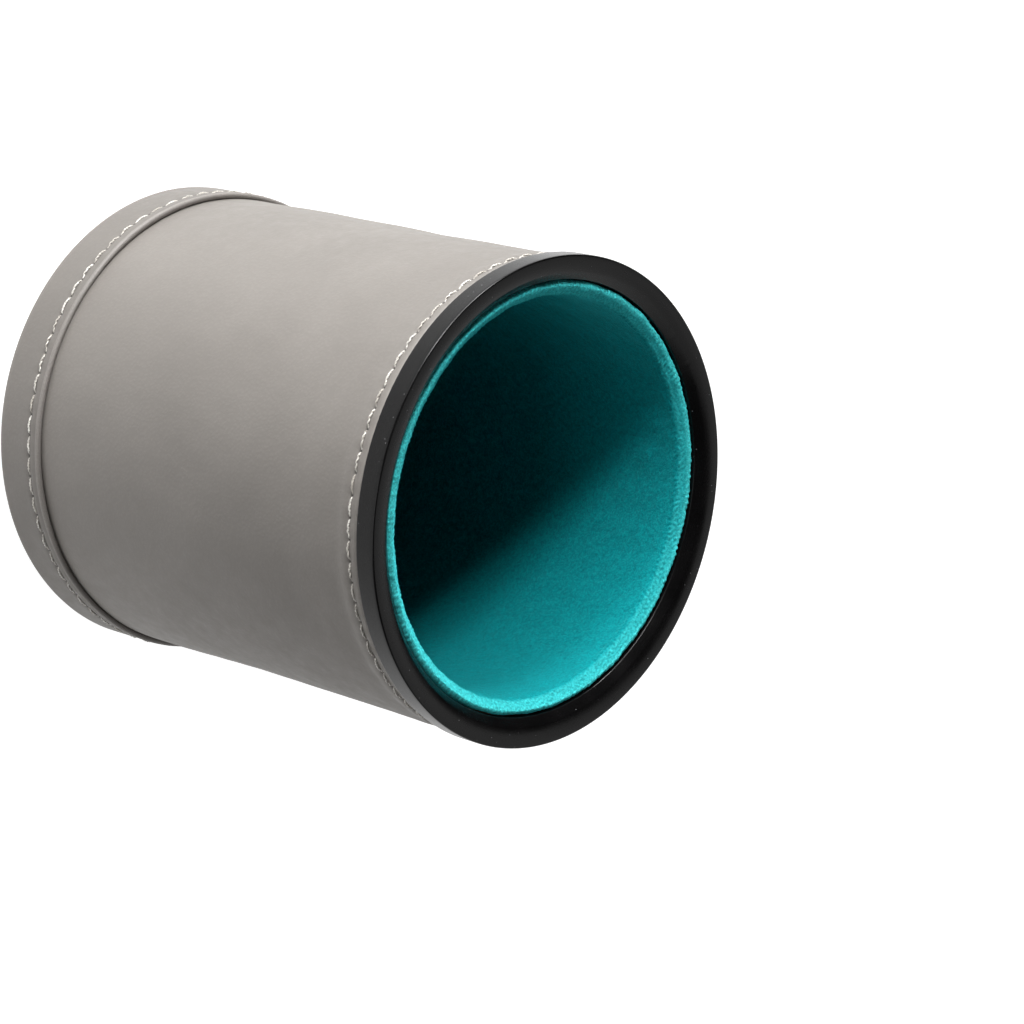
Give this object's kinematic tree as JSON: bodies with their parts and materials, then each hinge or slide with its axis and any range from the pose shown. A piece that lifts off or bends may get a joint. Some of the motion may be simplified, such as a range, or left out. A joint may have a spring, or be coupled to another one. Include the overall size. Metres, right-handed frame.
{
  "type": "leather dice cup",
  "caption": "Round leather-covered dice cup with a stitched mouth hem and base band, a black moulded rim ring, and a velvet-lined inside with a padded lip.",
  "frame": {"origin": "centre of the cup's underside, on the surface it stands on", "axes": "+Z along the cup's axis, from the base to the mouth; the cup is round, so X and Y are free"},
  "size_m": [0.0844, 0.0844, 0.095],
  "materials": {
    "leather": "warm grey, fine pebble grain, satin",
    "thread": "off-white waxed sewing thread",
    "rim_plastic": "black, moulded, semi-gloss",
    "velvet": "teal velvet, short pile",
    "board": "grey-brown fibreboard, matt",
    "card": "pale grey card, matt",
    "foam": "soft off-white foam sheet",
    "cotton": "twisted cotton cord"
  },
  "bodies": {
    "root": {"base_cover": "leather", "base_board": "board", "core_tube": "board", "leather_sleeve": "leather", "base_band": "leather", "mouth_stitching": "thread", "band_stitching": "thread", "rim_ring": "rim_plastic", "foam_pad": "foam", "lining_floor_card": "card", "lining_tube_card": "card", "velvet_floor": "velvet", "velvet_lining": "velvet", "lip_cord": "cotton"}
  },
  "joints": []
}
